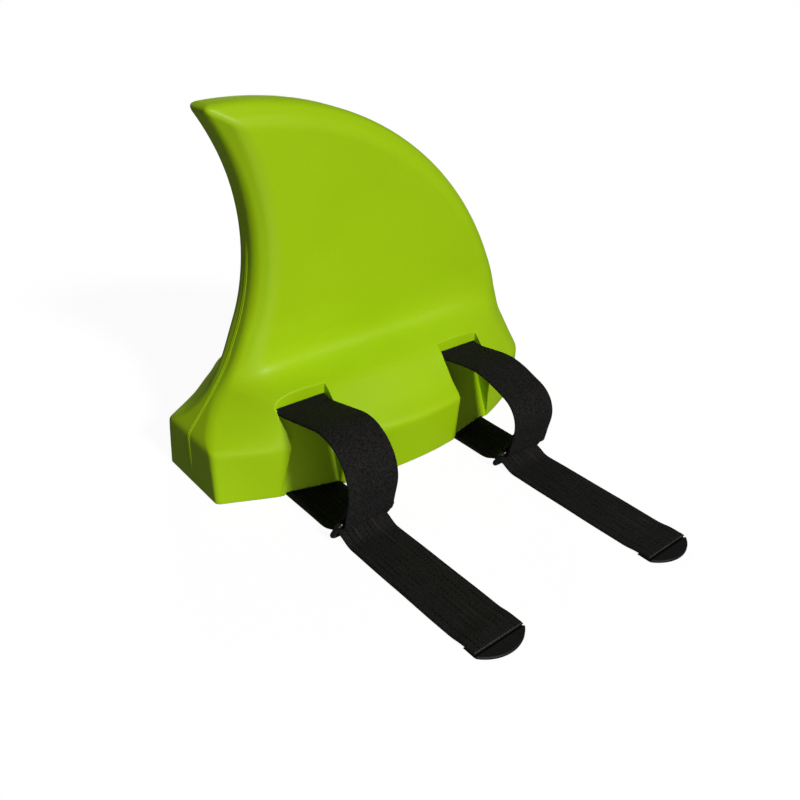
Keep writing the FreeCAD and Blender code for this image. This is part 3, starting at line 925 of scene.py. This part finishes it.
def build_stitches(piece_name, body, node, threads, spots, run, out, length, width):
    """A piece of stitches at spots, each (x, y, z, which thread)."""
    points = []
    faces = []
    kinds = []
    for *spot, kind in spots:
        rows, quads = stitch_points(np.array(spot), np.array(run), np.array(out), length, width)
        base = len(points)
        points += rows
        faces += [tuple(base + i for i in face) for face in quads]
        kinds += [kind] * len(quads)
    piece = new_mesh(piece_name, points, faces, body, threads)
    piece.data.polygons.foreach_set("material_index", kinds)
    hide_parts(node)


def build_threads(name):
    """The rows that close the loop round the ring, and two rows at the cut end: a dark one, and a pale
    one whose pale colour is a painted highlight along the cut edge.
    """
    centre, bar_y, end_y, *rest = STRAPS[name]
    bar, down, out = loop_frame(bar_y)
    spots = []
    for row in SEAM_ROWS:
        place = bar + out * (LOOP_R + STRAP_T / 2 - 0.15) - down * row
        for x in np.linspace(-17.5, 17.5, 13):
            spots.append((centre + x, place[0], place[1], 0))
    build_stitches(name + "_seam_thread", "float", name + "_loop_stitching", [SEAM_THREAD], spots,
                   (1.0, 0, 0), (0, out[0], out[1]), 2.2, 0.55)
    spots = []
    # the row right at the cut edge is pale, a painted highlight along that edge; the row further in is
    # dark thread
    for back, kind in ((0.45, 0), (7.0, 1)):
        for x in np.linspace(-18.4, 18.4, 17):
            spots.append((centre + x, end_y + back, 3.3, kind))
    build_stitches(name + "_end_thread_painted_highlight", name + "_tail", name + "_tab_stitching",
                   [END_THREAD_PAINTED_HIGHLIGHT, SEAM_THREAD], spots, (1.0, 0, 0), (0, 0, 1.0), 2.3, 0.42)


for strap in STRAPS:
    build_webbing(strap)
    build_ring(strap)
    build_tab(strap)
    build_threads(strap)


# ------------------------------------------------------------ stage
FLOOR_REACH = 60.0           # metres from the middle to the floor's sides
SHELL_RADIUS = 20.0          # metres
SHELL_SIDES = 24


def paper_material(name, grey, glow):
    material = bpy.data.materials.new(name)
    material.use_nodes = True
    shader = material.node_tree.nodes["Principled BSDF"]
    shader.inputs["Base Color"].default_value = (grey, grey, grey, 1)
    shader.inputs["Roughness"].default_value = 0.9
    shader.inputs["Specular IOR Level"].default_value = 0.0
    shader.inputs["Emission Color"].default_value = (1, 1, 1, 1)
    shader.inputs["Emission Strength"].default_value = glow
    return material


def build_stage():
    reach = FLOOR_REACH
    mesh = bpy.data.meshes.new("floor")
    mesh.from_pydata([(-reach, -reach, 0), (reach, -reach, 0), (reach, reach, 0), (-reach, reach, 0)], [],
                     [(0, 1, 2, 3)])
    floor = bpy.data.objects.new("floor", mesh)
    bpy.context.scene.collection.objects.link(floor)
    mesh.materials.append(paper_material("floor_paper", 0.10, 0.94))
    # a wide shell round everything carries the paper on above the horizon
    shell_mesh = bpy.data.meshes.new("backdrop")
    rises = np.radians([-4, 15, 35, 55, 75, 89.9])
    rows = []
    for rise in rises:
        for turn in np.arange(SHELL_SIDES) * 2 * math.pi / SHELL_SIDES:
            rows.append((SHELL_RADIUS * math.cos(rise) * math.cos(turn),
                         SHELL_RADIUS * math.cos(rise) * math.sin(turn), SHELL_RADIUS * math.sin(rise)))
    quads = []
    for i in range(len(rises) - 1):
        for j in range(SHELL_SIDES):
            here = SHELL_SIDES * i + j
            beside = SHELL_SIDES * i + (j + 1) % SHELL_SIDES
            quads.append((here, beside, beside + SHELL_SIDES, here + SHELL_SIDES))
    shell_mesh.from_pydata(rows, [], quads)
    shell_mesh.materials.append(paper_material("backdrop_paper", 0.0, 1.04))
    shell = bpy.data.objects.new("backdrop", shell_mesh)
    bpy.context.scene.collection.objects.link(shell)
    shell.visible_shadow = False
    # the paper is there to be seen, and lights nothing
    for paper in (floor, shell):
        paper.visible_diffuse = False
        paper.visible_glossy = False


def sun_light(name, towards, power, spread, glossy=True):
    """Even light from a wide soft source far away; towards points from the object to it."""
    light = bpy.data.lights.new(name, "SUN")
    light.energy = power
    light.angle = math.radians(spread)
    lamp = bpy.data.objects.new(name, light)
    lamp.rotation_euler = Vector(towards).to_track_quat("Z", "Y").to_euler()
    lamp.location = Vector(towards).normalized() * 2
    lamp.visible_glossy = glossy
    bpy.context.scene.collection.objects.link(lamp)


def bounce_light(name, place, size, power):
    """Soft light off the floor in front of the object, from a disc that the camera doesn't see."""
    light = bpy.data.lights.new(name, "AREA")
    light.shape = "DISK"
    light.size = size
    light.energy = power
    lamp = bpy.data.objects.new(name, light)
    lamp.location = place
    lamp.rotation_euler = (Vector((0, 0, 0.01)) - Vector(place)).to_track_quat("-Z", "Y").to_euler()
    lamp.visible_camera = False
    bpy.context.scene.collection.objects.link(lamp)


def build_camera():
    camera = bpy.data.cameras.new("camera")
    camera.lens = 37.23
    camera.sensor_width = 36.0
    eye = bpy.data.objects.new("camera", camera)
    right = Vector((0.7673, -0.6400, 0.0393)).normalized()
    back = Vector((-0.5712, -0.6545, 0.4953)).normalized()
    up = back.cross(right).normalized()
    right = up.cross(back)
    turn = Matrix((right, up, back)).transposed()
    eye.matrix_world = Matrix.Translation(Vector((-0.3560, -0.4600, 0.3511))) @ turn.to_4x4()
    bpy.context.scene.collection.objects.link(eye)
    bpy.context.scene.camera = eye


def build_world():
    world = bpy.data.worlds.new("studio")
    world.use_nodes = True
    world.node_tree.nodes["Background"].inputs["Color"].default_value = (1, 1, 1, 1)
    world.node_tree.nodes["Background"].inputs["Strength"].default_value = 0.075
    bpy.context.scene.world = world
    bpy.context.scene.view_settings.view_transform = "Standard"


build_stage()
build_camera()
build_world()
sun_light("key", (0.0, -0.83, 0.56), 2.30, 8.0)
sun_light("back", (0.50, 0.85, 0.15), 1.8, 20.0, glossy=False)
bounce_light("front_card", (-0.24, -0.42, 0.015), 0.30, 0.36)
